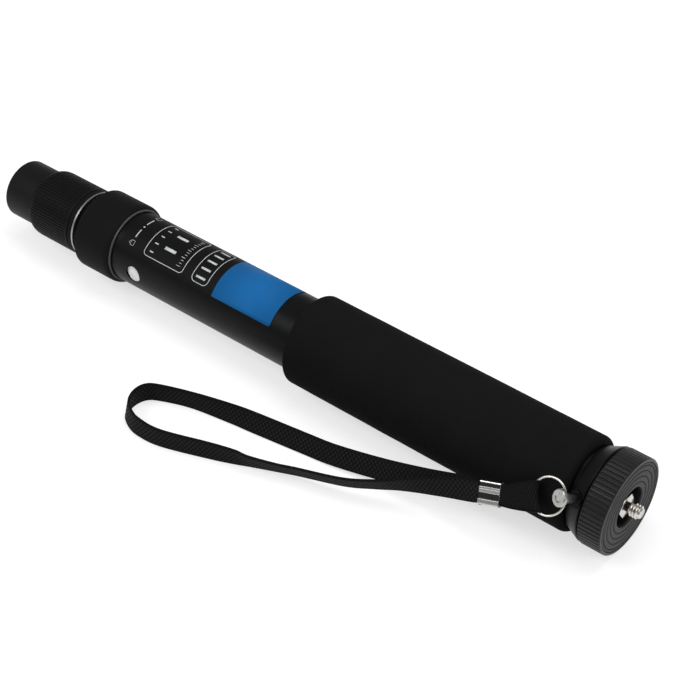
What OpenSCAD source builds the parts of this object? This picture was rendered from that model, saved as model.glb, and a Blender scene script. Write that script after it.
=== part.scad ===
// Camera monopod, folded to its shortest and lying on its side with its wrist strap spread on the floor.
// The axis runs along X, with the foot at -X and the camera screw at +X, above the floor plane z = 0.
// Places along the axis are counted from the foot's end, in the order in which the pieces follow.

/* [Tubes] */
// Outer diameter of the main tube
main_tube_d = 35.4; // [32:0.1:40]
// Wall of the three telescoping tubes
tube_wall = 1.2; // [0.8:0.1:1.6]
// Wall of the plastic bushes that carry one tube inside the next
bush_wall = 1.35; // [1:0.05:1.8]
// Length of main tube between the upper collar and the grip
tube_bare_l = 111.4; // [101:0.1:160]
// Length of the guide bushes at the upper ends of the inner tubes
guide_l = 14; // [8:0.5:24]
// Thickness of the flange on each guide bush
guide_flange_t = 1.2; // [0.8:0.1:3]
// Distance that the lower tube stops short of the middle tube
tube_step = 4; // [2:0.5:20]

/* [Foot] */
// Length of the rubber foot
foot_l = 20.7; // [14:0.1:32]
// Rubber around the lower tube
foot_wall = 2.45; // [1.4:0.05:4]
// Rubber under the plug
foot_base = 3; // [2:0.1:6]
// Rounding of the foot's edge
foot_round = 1.1; // [0.4:0.1:1.4]
// Depth of the tread groove in the foot's end
tread_depth = 0.8; // [0.3:0.1:1.5]
// Length of the plug inside the lower tube
plug_l = 12; // [6:0.5:24]
// Thickness of the plug's flange under the tube's end
plug_flange_t = 1; // [0.6:0.1:2]

/* [Twist locks] */
// Length of the lower collar
lower_collar_l = 27.6; // [24:0.1:40]
// Length of the upper collar
main_collar_l = 23.1; // [20:0.1:36]
// Wall of both collars' cores outside their threads
core_wall = 0.9; // [0.6:0.05:1.5]
// Rubber thickness of the upper collar's sleeve
main_sleeve_wall = 1.1; // [0.8:0.05:2]
// Rubber thickness of the lower collar's ribbed sleeve
lower_sleeve_wall = 0.8; // [0.6:0.05:1.6]
// Number of ribs on the lower sleeve
sleeve_ribs = 72; // [40:1:90]
// Depth of the grooves between those ribs
sleeve_rib_depth = 0.4; // [0.2:0.05:0.45]
// Smooth band that ends the ribbed sleeve
sleeve_band = 1.1; // [0.6:0.1:3]
// Width of the bare flange on the lower collar
collar_flange_w = 2.4; // [1.2:0.1:4]
// Height of that flange over the collar's core
collar_flange_h = 0.6; // [0.3:0.05:0.8]
// Length of the rounded shoulder of the upper sleeve
shoulder_l = 3.2; // [1.5:0.1:5]
// Length of the split ferrules
ferrule_l = 5.9; // [4:0.1:7]
// Wall of the ferrules at their thin end
ferrule_thin = 1.1; // [0.8:0.05:1.4]
// Width of the slit in the ferrules
ferrule_slit = 2.5; // [1:0.1:5]
// Length of the threaded noses of the lock bushes
nose_l = 7.1; // [4:0.1:7.5]
// Height of those noses over the tube
nose_step = 0.4; // [0.35:0.05:0.8]
// Length of the lower lock's bush inside the middle tube
lower_bush_l = 18; // [10:0.5:40]
// Width of the bright trim ring
trim_ring_w = 1; // [0.6:0.1:3]
// Height of the trim ring over the middle tube
trim_ring_h = 1.9; // [0.8:0.1:2.4]
// Bare middle tube between the trim ring and the upper collar
collar_gap = 4.4; // [1:0.1:12]

/* [Rivet and label] */
// Diameter of the rivet's bright disc
rivet_d = 8.2; // [5:0.1:10]
// Diameter of the rivet's stem in the bush
rivet_stem_d = 5; // [2.5:0.1:6]
// Depth of the disc below the tube's outside
rivet_sink = 0.45; // [0.2:0.05:0.7]
// Distance from the upper collar to the rivet's centre
rivet_from_collar = 14.3; // [8:0.1:20]
// Bush left beyond the rivet's centre
rivet_edge = 6; // [4:0.5:20]
// Length of the label
label_l = 95.3; // [60:0.1:97]
// Distance from the upper collar to the label
label_from_collar = 3.3; // [1:0.1:4]
// Thickness of the label
label_t = 0.12; // [0.08:0.01:0.3]
// Lower edge of the label, in degrees above the horizontal on the strap's side
label_from = 33.3; // [0:0.1:60]
// Angle that the label takes up round the tube
label_sweep = 94.7; // [60:0.1:180]

/* [Grip] */
// Length of the foam grip
grip_l = 151.7; // [100:0.1:220]
// Foam thickness
grip_wall = 4.45; // [2.5:0.05:5]
// Rounding of the grip's lower edge
grip_round_low = 1.5; // [0.5:0.1:2.4]
// Rounding of the grip's upper edge
grip_round_top = 3; // [0.5:0.1:4]
// Place of the foam's seam round the tube, in degrees
grip_seam = 1.2; // [0:0.1:359.9]

/* [Head] */
// Height of the conical head base
neck_l = 7.1; // [6:0.1:12]
// Width of the base's lower edge beside the tube
neck_ledge = 1.6; // [1:0.1:4]
// Length of the base's plug inside the main tube
head_plug_l = 22; // [20:0.5:40]
// Thickness of the base's floor behind its front face
head_floor_t = 11.8; // [9:0.1:16]
// Diameter of the hollow behind that floor
head_hollow_d = 24; // [20:0.1:27]
// Diameter of the cross pin
head_pin_d = 4; // [2:0.1:5]
// Distance from the plug's lower end to the cross pin
head_pin_from_end = 5.3; // [4:0.1:6]
// Diameter of the thumb wheel
wheel_d = 45; // [43:0.1:52]
// Width of the thumb wheel
wheel_w = 11.6; // [9:0.1:16]
// Number of ribs round the wheel
wheel_ribs = 64; // [32:1:80]
// Depth of the grooves between those ribs
wheel_rib_depth = 0.45; // [0.2:0.05:0.8]
// Chamfer of the wheel's two edges
wheel_chamfer = 0.4; // [0.2:0.05:0.8]
// Thickness of the wheel's web round the screw
wheel_web_t = 4.5; // [3:0.1:5]
// Diameter of the well in the wheel's face
well_d = 18.6; // [15:0.1:20]
// Thickness of the rubber face pad
pad_t = 1.6; // [1:0.1:2.2]
// Rim of the wheel left round the pad
pad_rim = 1.5; // [1:0.1:3]
// Number of ring grooves in the pad
pad_grooves = 4; // [1:1:6]
// Width of those grooves
pad_groove_w = 0.8; // [0.4:0.1:1]
// Depth of those grooves
pad_groove_depth = 0.6; // [0.3:0.1:0.8]
// Diameter of the friction washer
washer_d = 29.4; // [20:0.1:34]
// Thickness of the friction washer
washer_t = 1.1; // [0.6:0.1:2]

/* [Camera screw] */
// Thread diameter of the camera screw, a quarter inch
screw_d = 6.35; // [6:0.01:9.525]
// Height of the screw over the wheel's face
screw_out = 5.85; // [4:0.05:9]
// Chamfer of the screw's tip
screw_chamfer = 0.6; // [0.2:0.05:1]
// Diameter of the relief under the thread
screw_relief_d = 5; // [4:0.1:5.6]
// Width across the corners of the hexagonal flange
screw_flange_d = 11.6; // [10:0.1:14]
// Thickness of that flange
screw_flange_t = 1.6; // [1:0.1:2.5]
// Depth of the flange below the wheel's face
screw_flange_sink = 1.2; // [0.4:0.1:2]
// Diameter of the shank that the wheel turns on
screw_shank_d = 9.5; // [8:0.1:9.8]
// Width across the corners of the nut
nut_d = 17.3; // [14:0.1:19]
// Height of the nut
nut_h = 6; // [3:0.1:7]

/* [Strap fitting] */
// Height of the stud on the head base, along the axis
stud_up = 3.5; // [3:0.1:4]
// Angle of the stud above the horizontal
stud_angle = 28; // [10:1:60]
// Diameter of the stud's barrel, which the ring's cross hole goes through
stud_barrel_d = 4.2; // [3.6:0.1:5]
// Diameter of the stud's shank in the head base
stud_shank_d = 3.2; // [2.4:0.1:3.4]
// Depth of the shank in the head base
stud_depth = 4.5; // [3:0.1:5]
// Length of shank that shows between the base and the barrel
stud_neck = 2.4; // [1.6:0.1:3]
// Diameter of the stud's head
stud_head_d = 7.7; // [6:0.1:9]
// Thickness of the stud's head
stud_head_t = 2.3; // [1.5:0.1:3.5]
// Height of the head's outer face over the base
stud_out = 9.7; // [8.5:0.1:13]
// Depth of the recess in the stud's head
stud_recess = 0.5; // [0.2:0.1:1]
// Diameter of the washer under the stud
stud_washer_d = 7; // [5:0.1:7.4]
// Thickness of the washer under the stud
stud_washer_t = 0.9; // [0.5:0.1:1.5]
// Mean diameter of the wire ring
ring_d = 16; // [14:0.1:20]
// Wire diameter of the ring
ring_wire = 1.2; // [0.8:0.1:1.4]
// Height of the ring's cross hole in the stud, over the base
ring_up = 5.4; // [4.5:0.1:5.8]
// Width of the strap
tape_w = 10; // [8:0.1:10]
// Thickness of the strap
tape_t = 1.2; // [0.8:0.1:1.5]
// Width of the strap's folded end
tab_w = 9.4; // [7:0.1:9.6]
// Length of the metal clip
crimp_l = 9.8; // [7:0.1:13]
// Sheet thickness of the clip
crimp_wall = 0.5; // [0.3:0.05:0.8]
// Radius of the grooves pressed along the clip
crimp_groove_r = 0.35; // [0.2:0.05:0.4]

/* [Fits] */
// Radial play of pieces that stay put
seat_fit = 0.05; // [0.02:0.01:0.08]
// Radial play of pieces that slide or turn
slide_fit = 0.1; // [0.06:0.01:0.12]
// Free space between pieces that must not touch
clear = 0.3; // [0.2:0.05:0.4]

/* [Hidden] */
round_steps = 8;

// Radii, from the main tube inwards
main_r = main_tube_d / 2;
main_bore = main_r - tube_wall;
middle_r = main_bore - seat_fit - bush_wall - slide_fit;
middle_bore = middle_r - tube_wall;
lower_r = middle_bore - seat_fit - bush_wall - slide_fit;
lower_bore = lower_r - tube_wall;

// Radii of the collars, from the tubes outwards
main_core_r = thread_bore(main_r) + core_wall;
lower_core_r = thread_bore(middle_r) + core_wall;
main_sleeve_r = main_core_r + seat_fit + main_sleeve_wall;
lower_sleeve_r = lower_core_r + seat_fit + lower_sleeve_wall;
grip_r = main_r + seat_fit + grip_wall;
foot_r = lower_r + seat_fit + foot_wall;

// Stations along the axis
lower_collar_at = foot_l + clear;
trim_ring_at = lower_collar_at + lower_collar_l + clear;
main_collar_at = trim_ring_at + trim_ring_w + collar_gap;
main_collar_end = main_collar_at + main_collar_l;
grip_at = main_collar_end + tube_bare_l;
neck_at = grip_at + grip_l + clear;
neck_end = neck_at + neck_l;
wheel_at = neck_end + clear;
wheel_end = wheel_at + wheel_w;
overall_l = wheel_end + screw_out;
rivet_at = main_collar_end + rivet_from_collar;
label_at = main_collar_end + label_from_collar;
head_plug_at = neck_at - head_plug_l;
head_pin_at = head_plug_at + head_pin_from_end;
head_floor_at = neck_end - head_floor_t;
middle_tube_end = head_plug_at - guide_flange_t - clear;
lower_tube_end = middle_tube_end - tube_step - guide_flange_t;
lower_tube_at = foot_base + plug_flange_t + seat_fit;
axis_z = max(wheel_d / 2, grip_r, main_sleeve_r);

// Lengths inside a twist lock, counted from the collar's lower end
lip_inset = 0.3;
lip_t = 1.3;
lip_play = 0.6;
lip_show = 0.6;
lip_step = 0.5;
edge_round = 0.8;
function ferrule_from(collar_at) = collar_at + lip_inset + lip_t + clear;
function ferrule_to(collar_at) = ferrule_from(collar_at) + ferrule_l;
function nose_from(collar_at) = ferrule_to(collar_at) + seat_fit;
function nose_to(collar_at) = nose_from(collar_at) + nose_l;
function tube_from(collar_at) = nose_to(collar_at) + seat_fit;
function thread_bore(tube_r) = tube_r + nose_step + slide_fit;

// Head base and strap stud
neck_low_r = main_r + neck_ledge;
neck_top_r = wheel_d / 2 - clear;
stud_tilt = atan2(neck_top_r - neck_low_r, neck_l);
stud_r = neck_low_r + stud_up * tan(stud_tilt);
stud_foot = [neck_at + stud_up - overall_l / 2, -stud_r * cos(stud_angle), axis_z + stud_r * sin(stud_angle)];
stud_dir = [-sin(stud_tilt), -cos(stud_tilt) * cos(stud_angle), cos(stud_tilt) * sin(stud_angle)];
stud_seat = 0.4;

// Strap: the clip's middle, its lean, and the frame in which ring, tab and clip lie
crimp_at = [128, -30, 23];
crimp_lean = 40;
tape_gap = 0.4;
ring_r = ring_d / 2;
ring_hole_at = stud_foot + ring_up * stud_dir;
ring_sag = ring_r - sqrt(ring_r * ring_r - stud_barrel_d * stud_barrel_d / 4);
ring_hole_d = ring_wire + ring_sag + 2 * clear;
ring_shift = ring_r - ring_sag / 2;
along = unit(ring_hole_at - crimp_at);
across = tape_side(along, -crimp_lean);
outward = cross(along, across);
ring_at = ring_hole_at - ring_shift * along;
tab_reach = norm(ring_hole_at - crimp_at) - ring_shift - ring_r;
tab_sag = ring_r - sqrt(ring_r * ring_r - tab_w * tab_w / 4);
tape_layer = (tape_t + tape_gap) / 2;

// The strap's route from clip to clip: x, y, z and the lean of the strap in degrees
strap_route = [
    [114, -29.5, 18, 40], [95, -32, 13, 40], [74, -34.5, 8, 46], [51, -38.5, 5.4, 43],
    [35, -40.5, 4.4, 44], [10, -45, 4.6, 36], [-2, -47.5, 5.1, 18], [-22, -52, 5.2, 0],
    [-38, -58.5, 5.2, 0], [-44.5, -63.5, 5.2, 0], [-46, -69.5, 5.2, 0], [-43, -75.5, 5.2, 0],
    [-36.5, -79, 5.2, 0], [-28.5, -80, 5.2, 0], [-16, -79.5, 5.2, 0], [6.5, -72.5, 5.2, 0],
    [18, -67.5, 5.2, 8], [24.5, -65.5, 5.1, 20], [36, -61, 5, 27], [45.5, -57.5, 5.5, 28],
    [66, -51.5, 7.6, 28], [79, -46, 10, 26], [89, -41, 12.4, 17], [101, -36.5, 15.6, 0],
    [113, -33, 19, -22]];
route_steps = 3;
tape_edge = 0.35;

function unit(v) = v / norm(v);

// Points on a quarter or half ellipse, for rounded edges
function arc(centre, rx, ry, from, to) =
    [for (i = [0:round_steps])
        let (a = from + (to - from) * i / round_steps)
        [centre.x + rx * cos(a), centre.y + ry * sin(a)]];

function rounded_box(w, h, r) =
    concat(arc([w / 2 - r, h / 2 - r], r, r, 0, 90), arc([r - w / 2, h / 2 - r], r, r, 90, 180),
           arc([r - w / 2, r - h / 2], r, r, 180, 270), arc([w / 2 - r, r - h / 2], r, r, 270, 360));

// Direction of the strap's width where it runs along dir, leant over by an angle
function tape_side(dir, lean) =
    let (up = unit([0, 0, 1] - dir.z * dir))
    cos(lean) * up + sin(lean) * cross(dir, up);

// Smooth curve through four neighbouring values, at share s of the way from b to c
function smooth(a, b, c, d, s) =
    b + s / 2 * (c - a) + s * s / 2 * (2 * a - 5 * b + 4 * c - d) + s * s * s / 2 * (3 * b - a - 3 * c + d);

// A turned piece: each point is a radius and a place along the axis, and its seam may be turned about it
module turned(points, seam = 0) {
    translate([-overall_l / 2, 0, axis_z])
        rotate([0, 90, 0])
            rotate([0, 0, seam])
                rotate_extrude($fn = 96)
                    polygon(points);
}

// A plain tube or ring between two places along the axis
module ring(inner, outer, from, to) {
    turned([[inner, from], [outer, from], [outer, to], [inner, to]]);
}

// The flared grooves that leave ribs round a turned piece of radius r
module rib_grooves(r, depth, count, from, to) {
    pitch = 2 * PI * r / count;
    floor_w = 0.15 * pitch;
    flare_w = 0.6 * pitch;
    translate([from - overall_l / 2, 0, axis_z])
        rotate([0, 90, 0])
            for (i = [0:count - 1])
                rotate([0, 0, (i + 0.5) * 360 / count])
                    linear_extrude(to - from)
                        polygon([[r - depth, -floor_w / 2], [r + depth / 2, -flare_w / 2],
                                 [r + depth / 2, flare_w / 2], [r - depth, floor_w / 2]]);
}

// Puts a shape's Z axis straight out from the axis, at an angle above the horizontal on the strap's side
module outwards(at, angle) {
    translate([at - overall_l / 2, 0, axis_z])
        rotate([90 - angle, 0, 0])
            children();
}

// Puts a shape's Z axis along the strap stud, with its foot on the cone
module on_stud() {
    translate(stud_foot)
        rotate([90 - stud_angle, 0, 0])
            rotate([0, -stud_tilt, 0])
                children();
}

// Puts a shape at a point with its three axes along the given directions
module in_frame(at, x, y, z) {
    multmatrix([[x.x, y.x, z.x, at.x], [x.y, y.y, z.y, at.y], [x.z, y.z, z.z, at.z]])
        children();
}

module main_tube() {
    color("#17181a")
        difference() {
            ring(main_bore, main_r, tube_from(main_collar_at), neck_at);
            outwards(rivet_at, 0)
                cylinder(d = rivet_d + 2 * clear, h = main_tube_d, $fn = 48);
            pin_hole();
        }
}

module tube_label() {
    inner = main_r + seat_fit / 2;
    color("#101114")
        translate([label_at - overall_l / 2, 0, axis_z])
            rotate([0, 90, 0])
                rotate([0, 0, 270 - label_from - label_sweep])
                    rotate_extrude(angle = label_sweep, $fn = 96)
                        translate([inner, 0])
                            square([label_t, label_l]);
}

module foam_grip() {
    end = grip_at + grip_l;
    color("#1b1b1c")
        turned(concat([[main_r + seat_fit, grip_at]],
                      arc([grip_r - grip_round_low, grip_at + grip_round_low],
                          grip_round_low, grip_round_low, -90, 0),
                      arc([grip_r - grip_round_top, end - grip_round_top],
                          grip_round_top, grip_round_top, 0, 90),
                      [[main_r + seat_fit, end]]), grip_seam);
}

// A plastic bush in a tube's lower end, with its nose outside the tube
module lock_bush(collar_at, tube_r, inner_r, end) {
    bore = inner_r + slide_fit;
    body = tube_r - tube_wall - seat_fit;
    nose = tube_r + nose_step;
    turned([[bore, nose_from(collar_at)], [nose, nose_from(collar_at)], [nose, nose_to(collar_at)],
            [body, nose_to(collar_at)], [body, end], [bore, end]]);
}

module main_lock_bush() {
    color("#2a2a2c")
        difference() {
            lock_bush(main_collar_at, main_r, middle_r, rivet_at + rivet_edge);
            outwards(rivet_at, 0)
                cylinder(d = rivet_stem_d + 2 * seat_fit, h = main_r, $fn = 48);
        }
}

module bush_rivet() {
    disc_foot = main_bore + seat_fit;
    color("#d5d7d9")
        outwards(rivet_at, 0) {
            translate([0, 0, disc_foot])
                cylinder(d = rivet_d, h = main_r - rivet_sink - disc_foot, $fn = 48);
            translate([0, 0, middle_r + clear])
                cylinder(d = rivet_stem_d, h = disc_foot - middle_r, $fn = 48);
        }
}

// A split conical ring that closes on the inner tube when its collar is turned
module lock_ferrule(collar_at, tube_r, inner_r) {
    from = ferrule_from(collar_at);
    to = ferrule_to(collar_at);
    bore = inner_r + slide_fit;
    difference() {
        turned([[bore, from], [bore + ferrule_thin, from], [thread_bore(tube_r) - clear, to], [bore, to]]);
        translate([from - 1 - overall_l / 2, -ferrule_slit / 2, axis_z])
            cube([ferrule_l + 2, ferrule_slit, tube_r + nose_step + 1]);
    }
}

module main_lock_ferrule() {
    color("#e4e2dc")
        lock_ferrule(main_collar_at, main_r, middle_r);
}

module pin_hole() {
    translate([head_pin_at - overall_l / 2, 0, axis_z])
        cylinder(d = head_pin_d + 2 * seat_fit, h = main_tube_d + 1, center = true, $fn = 48);
}

module head_base() {
    plug_r = main_bore - seat_fit;
    hollow_r = head_hollow_d / 2;
    shank_r = screw_shank_d / 2 + seat_fit;
    washer_r = washer_d / 2 + clear;
    washer_seat = wheel_at - slide_fit - washer_t;
    edge = 0.5;
    color("#1c1d1f")
        difference() {
            turned([[hollow_r, head_plug_at], [plug_r, head_plug_at], [plug_r, neck_at + seat_fit],
                    [neck_low_r, neck_at + seat_fit], [neck_top_r, neck_end - edge],
                    [neck_top_r - edge, neck_end], [washer_r, neck_end], [washer_r, washer_seat],
                    [shank_r, washer_seat], [shank_r, head_floor_at], [hollow_r, head_floor_at]]);
            pin_hole();
            on_stud() {
                translate([0, 0, -stud_depth - seat_fit])
                    cylinder(d = stud_shank_d + 2 * seat_fit, h = stud_out, $fn = 48);
                translate([0, 0, -stud_seat])
                    cylinder(d = stud_washer_d + 2 * clear, h = stud_out, $fn = 48);
            }
        }
}

module head_pin() {
    pin_reach = sqrt(main_r * main_r - head_pin_d * head_pin_d / 4);
    color("#b9bbbd")
        translate([head_pin_at - overall_l / 2, 0, axis_z])
            cylinder(d = head_pin_d, h = 2 * (pin_reach - seat_fit), center = true, $fn = 48);
}

module camera_screw() {
    thread_r = screw_d / 2;
    relief_r = screw_relief_d / 2;
    shank_r = screw_shank_d / 2;
    flange_face = wheel_end - screw_flange_sink;
    flange_back = flange_face - screw_flange_t;
    tail = head_floor_at - seat_fit - nut_h;
    color("#c9cbcc") {
        turned([[0, tail], [shank_r, tail], [shank_r, flange_back], [relief_r, flange_back],
                [relief_r, wheel_end], [thread_r, wheel_end + thread_r - relief_r],
                [thread_r, overall_l - screw_chamfer], [thread_r - screw_chamfer, overall_l], [0, overall_l]]);
        translate([flange_back - overall_l / 2, 0, axis_z])
            rotate([0, 90, 0])
                cylinder(d = screw_flange_d, h = screw_flange_t, $fn = 6);
    }
}

module screw_nut() {
    color("#a9abad")
        translate([head_floor_at - seat_fit - nut_h - overall_l / 2, 0, axis_z])
            rotate([0, 90, 0])
                difference() {
                    cylinder(d = nut_d, h = nut_h, $fn = 6);
                    translate([0, 0, -1])
                        cylinder(d = screw_shank_d + 2 * seat_fit, h = nut_h + 2, $fn = 48);
                }
}

module friction_washer() {
    color("#dcdcd8")
        ring(screw_shank_d / 2 + clear, washer_d / 2, wheel_at - slide_fit - washer_t, wheel_at - slide_fit);
}

module strap_stud() {
    shank_r = stud_shank_d / 2;
    barrel_r = stud_barrel_d / 2;
    head_r = stud_head_d / 2;
    head_foot = stud_out - stud_head_t;
    edge = stud_head_t / 4;
    color("#cfd1d2")
        difference() {
            on_stud()
                rotate_extrude($fn = 48)
                    polygon(concat([[0, -stud_depth], [shank_r, -stud_depth], [shank_r, stud_neck],
                                    [barrel_r, stud_neck], [barrel_r, head_foot]],
                                   arc([head_r - edge, head_foot + edge], edge, edge, -90, 0),
                                   arc([head_r - edge, stud_out - edge], edge, edge, 0, 90),
                                   [[barrel_r, stud_out], [barrel_r - edge, stud_out - stud_recess],
                                    [0, stud_out - stud_recess]]));
            in_frame(ring_hole_at, outward, along, across)
                cylinder(d = ring_hole_d, h = 2 * stud_barrel_d, center = true, $fn = 32);
        }
}

module stud_washer() {
    color("#8f9193")
        on_stud()
            translate([0, 0, -stud_seat])
                difference() {
                    cylinder(d = stud_washer_d, h = stud_washer_t, $fn = 48);
                    translate([0, 0, -1])
                        cylinder(d = stud_shank_d + 2 * seat_fit, h = stud_washer_t + 2, $fn = 48);
                }
}

// Bore of a lock collar: lip, cone over the ferrule, thread over the nose, then play over the tube
function core_bore(collar_at, end, tube_r, inner_r) =
    let (lip = inner_r + lip_play, lip_end = collar_at + lip_inset + lip_t)
    [[tube_r + clear, end], [tube_r + clear, nose_to(collar_at) + clear],
     [thread_bore(tube_r), nose_to(collar_at) + clear], [thread_bore(tube_r), ferrule_to(collar_at)],
     [inner_r + slide_fit + ferrule_thin + clear, lip_end], [lip, lip_end], [lip, collar_at + lip_inset]];

module main_lock_collar() {
    step = main_collar_end - lip_show - lip_step;
    lip_r = main_core_r - lip_step;
    color("#3a3b3d")
        turned(concat(core_bore(main_collar_at, main_collar_end, main_r, middle_r),
                      [[main_core_r, main_collar_at + lip_inset], [main_core_r, step],
                       [lip_r, step], [lip_r, main_collar_end]]));
}

module main_collar_sleeve() {
    bore = main_core_r + seat_fit;
    lip_bore = bore - lip_step;
    end = main_collar_end - lip_show;
    step = end - lip_step + seat_fit;
    shoulder_h = main_sleeve_r - lip_bore - lip_step / 2;
    color("#1a1a1b")
        turned(concat([[lip_bore, end], [lip_bore, step], [bore, step], [bore, main_collar_at]],
                      arc([main_sleeve_r - edge_round, main_collar_at + edge_round],
                          edge_round, edge_round, -90, 0),
                      arc([main_sleeve_r - shoulder_h, end - shoulder_l], shoulder_h, shoulder_l, 0, 90)));
}

module thumb_wheel() {
    r = wheel_d / 2;
    well_r = well_d / 2;
    pad_seat = wheel_end - pad_t;
    color("#242528")
        difference() {
            turned([[screw_shank_d / 2 + slide_fit, wheel_at], [r - wheel_chamfer, wheel_at],
                    [r, wheel_at + wheel_chamfer], [r, wheel_end - wheel_chamfer],
                    [r - wheel_chamfer, wheel_end], [r - pad_rim, wheel_end], [r - pad_rim, pad_seat],
                    [well_r, pad_seat], [well_r, wheel_at + wheel_web_t],
                    [screw_shank_d / 2 + slide_fit, wheel_at + wheel_web_t]]);
            rib_grooves(r, wheel_rib_depth, wheel_ribs, wheel_at - clear, wheel_end + clear);
        }
}

module face_pad() {
    outer = wheel_d / 2 - pad_rim - seat_fit;
    inner = well_d / 2;
    pitch = (outer - inner) / (pad_grooves + 1);
    color("#191a1b")
        difference() {
            ring(inner, outer, wheel_end - pad_t, wheel_end);
            for (i = [1:pad_grooves])
                turned([[inner + i * pitch - pad_groove_w / 2, wheel_end],
                        [inner + i * pitch, wheel_end - pad_groove_depth],
                        [inner + i * pitch + pad_groove_w / 2, wheel_end]]);
        }
}

module middle_tube() {
    color("#202124")
        ring(middle_bore, middle_r, tube_from(lower_collar_at), middle_tube_end);
}

// A guide at the upper end of an inner tube, with a flange over the tube's end
module guide_bush(tube_r, outer_bore, tube_end) {
    bore = tube_r + seat_fit;
    outer = outer_bore - slide_fit;
    top = tube_end + guide_flange_t;
    turned([[bore, tube_end - guide_l], [outer, tube_end - guide_l], [outer, top],
            [tube_r - tube_wall, top], [tube_r - tube_wall, tube_end + seat_fit], [bore, tube_end + seat_fit]]);
}

module middle_guide_bush() {
    color("#e4e2dc")
        guide_bush(middle_r, main_bore, middle_tube_end);
}

module lower_lock_bush() {
    color("#2a2a2c")
        lock_bush(lower_collar_at, middle_r, lower_r, tube_from(lower_collar_at) + lower_bush_l);
}

module lower_lock_ferrule() {
    color("#e4e2dc")
        lock_ferrule(lower_collar_at, middle_r, lower_r);
}

module trim_ring() {
    color("#e6e8ea")
        ring(middle_r + seat_fit, middle_r + trim_ring_h, trim_ring_at, trim_ring_at + trim_ring_w);
}

module lower_lock_collar() {
    end = lower_collar_at + lower_collar_l;
    flange_at = end - collar_flange_w;
    flange_r = lower_core_r + collar_flange_h;
    color("#232426")
        turned(concat(core_bore(lower_collar_at, end, middle_r, lower_r),
                      [[lower_core_r, lower_collar_at + lip_inset], [lower_core_r, flange_at],
                       [flange_r, flange_at], [flange_r, end]]));
}

module lower_collar_sleeve() {
    bore = lower_core_r + seat_fit;
    end = lower_collar_at + lower_collar_l - collar_flange_w - clear;
    band_at = end - sleeve_band;
    edge = sleeve_rib_depth / 2;
    color("#1d1d1f")
        difference() {
            turned([[bore, lower_collar_at], [lower_sleeve_r - edge, lower_collar_at],
                    [lower_sleeve_r, lower_collar_at + edge], [lower_sleeve_r, end], [bore, end]]);
            rib_grooves(lower_sleeve_r, sleeve_rib_depth, sleeve_ribs, lower_collar_at - clear, band_at);
        }
}

module lower_tube() {
    color("#2b2c2f")
        ring(lower_bore, lower_r, lower_tube_at, lower_tube_end);
}

module lower_guide_bush() {
    color("#e4e2dc")
        guide_bush(lower_r, middle_bore, lower_tube_end);
}

module foot_plug() {
    bore = lower_bore / 2;
    body = lower_bore - seat_fit;
    top = lower_tube_at + plug_l;
    shoulder = foot_base + plug_flange_t;
    color("#2a2a2c")
        turned([[0, foot_base], [lower_r, foot_base], [lower_r, shoulder], [body, shoulder],
                [body, top], [bore, top], [bore, shoulder + plug_flange_t], [0, shoulder + plug_flange_t]]);
}

module rubber_foot() {
    bore = lower_r + seat_fit;
    floor_at = foot_base - seat_fit;
    tread_r = foot_r / 2;
    color("#161616")
        turned(concat([[0, 0], [tread_r - tread_depth, 0], [tread_r, tread_depth], [tread_r + tread_depth, 0]],
                      arc([foot_r - foot_round, foot_round], foot_round, foot_round, -90, 0),
                      [[foot_r, foot_l], [bore, foot_l], [bore, floor_at], [0, floor_at]]));
}

module strap_ring() {
    color("#c4c6c8")
        in_frame(ring_at, along, across, outward)
            rotate_extrude($fn = 64)
                translate([ring_r, 0])
                    circle(d = ring_wire, $fn = 24);
}

// Outline of the folded strap end: two layers in the clip that part and close round the ring's wire
function hairpin(half_gap, eye_r) =
    concat([[-crimp_l / 2, -half_gap], [crimp_l / 2, -half_gap], [tab_reach, -eye_r]],
           arc([tab_reach + tab_sag, 0], eye_r, eye_r, -90, 90),
           [[tab_reach, eye_r], [crimp_l / 2, half_gap], [-crimp_l / 2, half_gap]]);

module strap_tab() {
    eye_r = ring_wire / 2 + clear;
    color("#161617")
        in_frame(crimp_at, along, -outward, across)
            linear_extrude(tab_w, center = true)
                difference() {
                    polygon(hairpin(tape_gap / 2 + tape_t, eye_r + tape_t));
                    polygon(concat([[-crimp_l, tape_gap / 2], [-crimp_l, -tape_gap / 2]],
                                   hairpin(tape_gap / 2, eye_r)));
                }
}

module strap_crimp() {
    opening_w = tab_w + 2 * seat_fit;
    opening_h = 2 * tape_t + tape_gap + 2 * seat_fit;
    outer_w = opening_w + 2 * crimp_wall;
    outer_h = opening_h + 2 * crimp_wall;
    color("#d3d5d6")
        in_frame(crimp_at, across, outward, along)
            linear_extrude(crimp_l, center = true)
                difference() {
                    polygon(rounded_box(outer_w, outer_h, 2 * crimp_wall));
                    square([opening_w, opening_h], center = true);
                    for (side = [-1, 1])
                        for (share = [-1, 0, 1])
                            translate([share * tab_w / 4, side * outer_h / 2])
                                circle(crimp_groove_r, $fn = 24);
                }
}

// The strap's places, leans and directions, from the clip's face round the loop and back to that face
strap_start = crimp_at - crimp_l / 2 * along - tape_layer * outward;
strap_finish = crimp_at - crimp_l / 2 * along + tape_layer * outward;
strap_knots = concat([concat(strap_start, crimp_lean)], strap_route, [concat(strap_finish, -crimp_lean)]);
strap_last = len(strap_knots) - 1;
function knot(i) = strap_knots[max(0, min(strap_last, i))];
strap_stations = concat(
    [for (i = [0:strap_last - 1])
        for (k = [0:route_steps - 1])
            smooth(knot(i - 1), knot(i), knot(i + 1), knot(i + 2), k / route_steps)],
    [knot(strap_last)]);
tape_outline = [
    for (corner = [[1, -1], [1, 1], [-1, 1], [-1, -1]])
        let (x = corner.x * tape_w / 2, y = corner.y * tape_t / 2)
        let (on_edge = [x, y - corner.y * tape_edge], on_face = [x - corner.x * tape_edge, y])
        each corner.x * corner.y < 0 ? [on_face, on_edge] : [on_edge, on_face]];

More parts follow.
